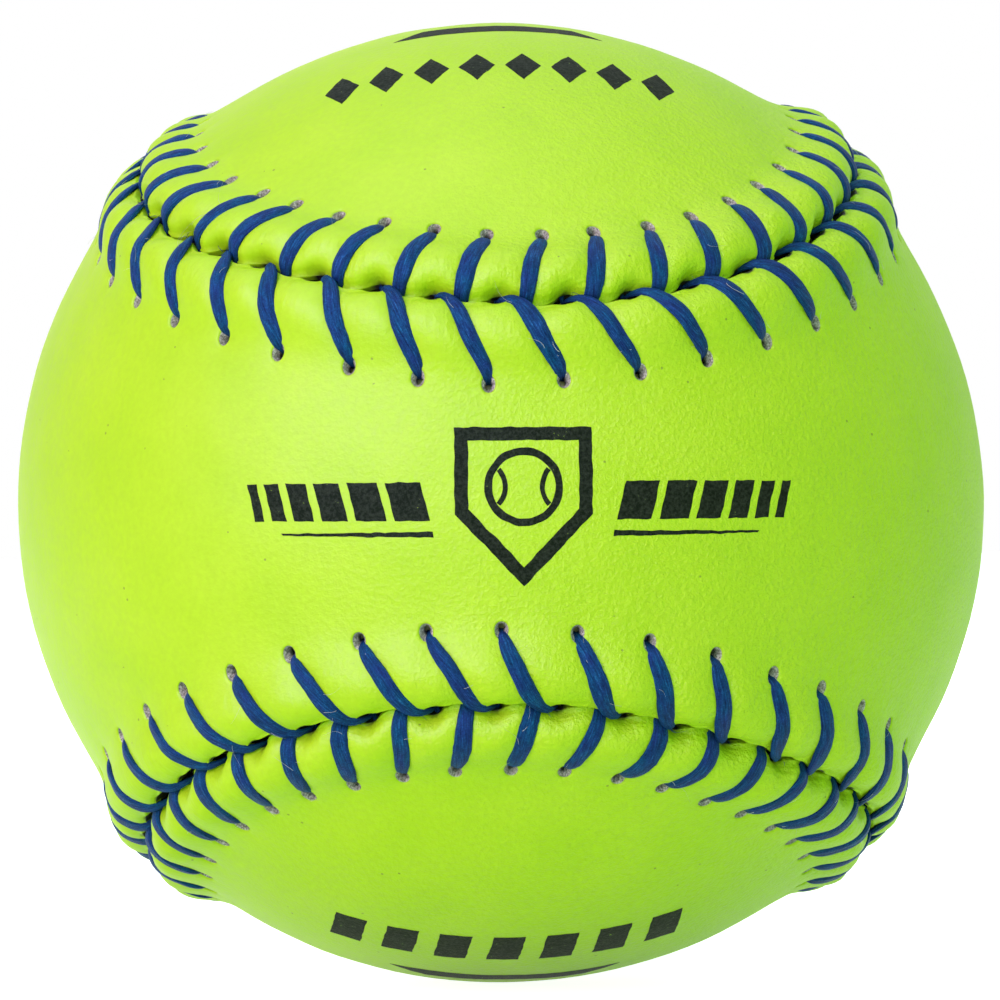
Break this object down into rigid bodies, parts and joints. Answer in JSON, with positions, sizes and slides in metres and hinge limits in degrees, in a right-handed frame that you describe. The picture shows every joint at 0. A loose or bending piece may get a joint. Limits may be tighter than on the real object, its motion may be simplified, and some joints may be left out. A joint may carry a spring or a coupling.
{
  "type": "softball",
  "caption": "Ball for bat-and-ball games: a moulded core under interlocking figure-eight leather panels, joined by a raised seam with V stitches.",
  "frame": {"origin": "centre of the ball", "axes": "-Y out of the waist of the front panel, +Y out of the waist of the rear panel, +X and -X out of the front panel's lobes, +Z and -Z out of the rear panel's lobes"},
  "size_m": [0.0958, 0.0971, 0.0958],
  "materials": {
    "core_foam": "moulded polyurethane foam, closed cells, matt cream",
    "cement": "dried latex cement, slightly glossy, amber cream",
    "leather": "coated cowhide, optic yellow-green, fine pebble grain, satin, with grey fibres where it is cut",
    "thread": "waxed cotton strands lying flat side by side, royal blue, dull sheen"
  },
  "bodies": {
    "root": {"core": "core_foam", "cement_film": "cement", "front_panel": "leather", "rear_panel": "leather", "first_thread": "thread", "second_thread": "thread"}
  },
  "joints": []
}
